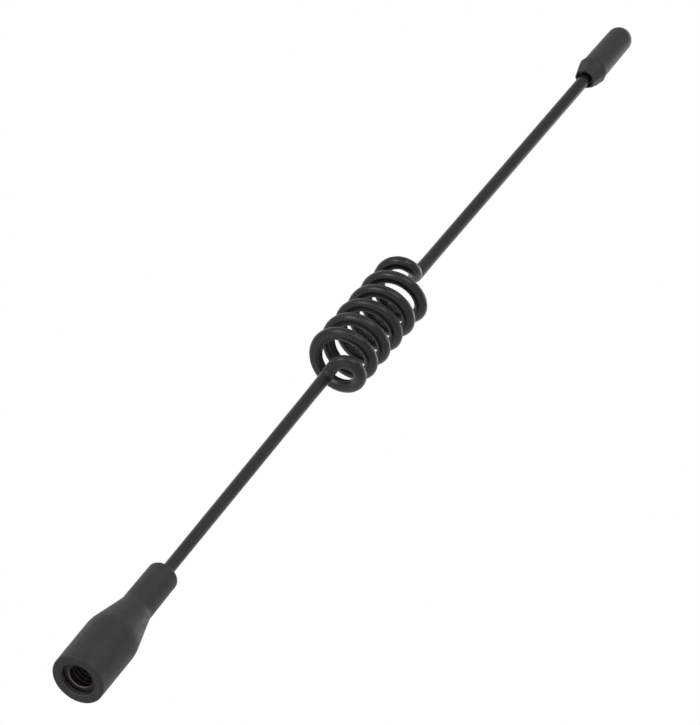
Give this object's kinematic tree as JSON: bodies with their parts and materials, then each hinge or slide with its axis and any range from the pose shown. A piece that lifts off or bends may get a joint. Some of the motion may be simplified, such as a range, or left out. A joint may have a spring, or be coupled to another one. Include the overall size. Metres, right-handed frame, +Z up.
{
  "type": "antenna whip",
  "caption": "Antenna whip: a moulded ferrule with a threaded socket, a bent black wire with a phasing coil at mid height, and a domed cap on a tapered collar at the tip.",
  "frame": {"origin": "centre of the ferrule's foot, on the plane of its seating face", "axes": "+Z up the lower straight of the wire, from the foot to the tip; the coil and the upper straight lean a little towards +X"},
  "size_m": [0.0148, 0.0142, 0.2398],
  "materials": {
    "ferrule_moulding": "matt black moulding",
    "insert_metal": "dull plated, turned",
    "coated_wire": "satin black coating",
    "collar_plastic": "satin black moulding",
    "cap_plastic": "matt black moulding"
  },
  "bodies": {
    "root": {"base_ferrule": "ferrule_moulding", "threaded_insert": "insert_metal", "whip_wire": "coated_wire", "tip_collar": "collar_plastic", "tip_cap": "cap_plastic"}
  },
  "joints": []
}
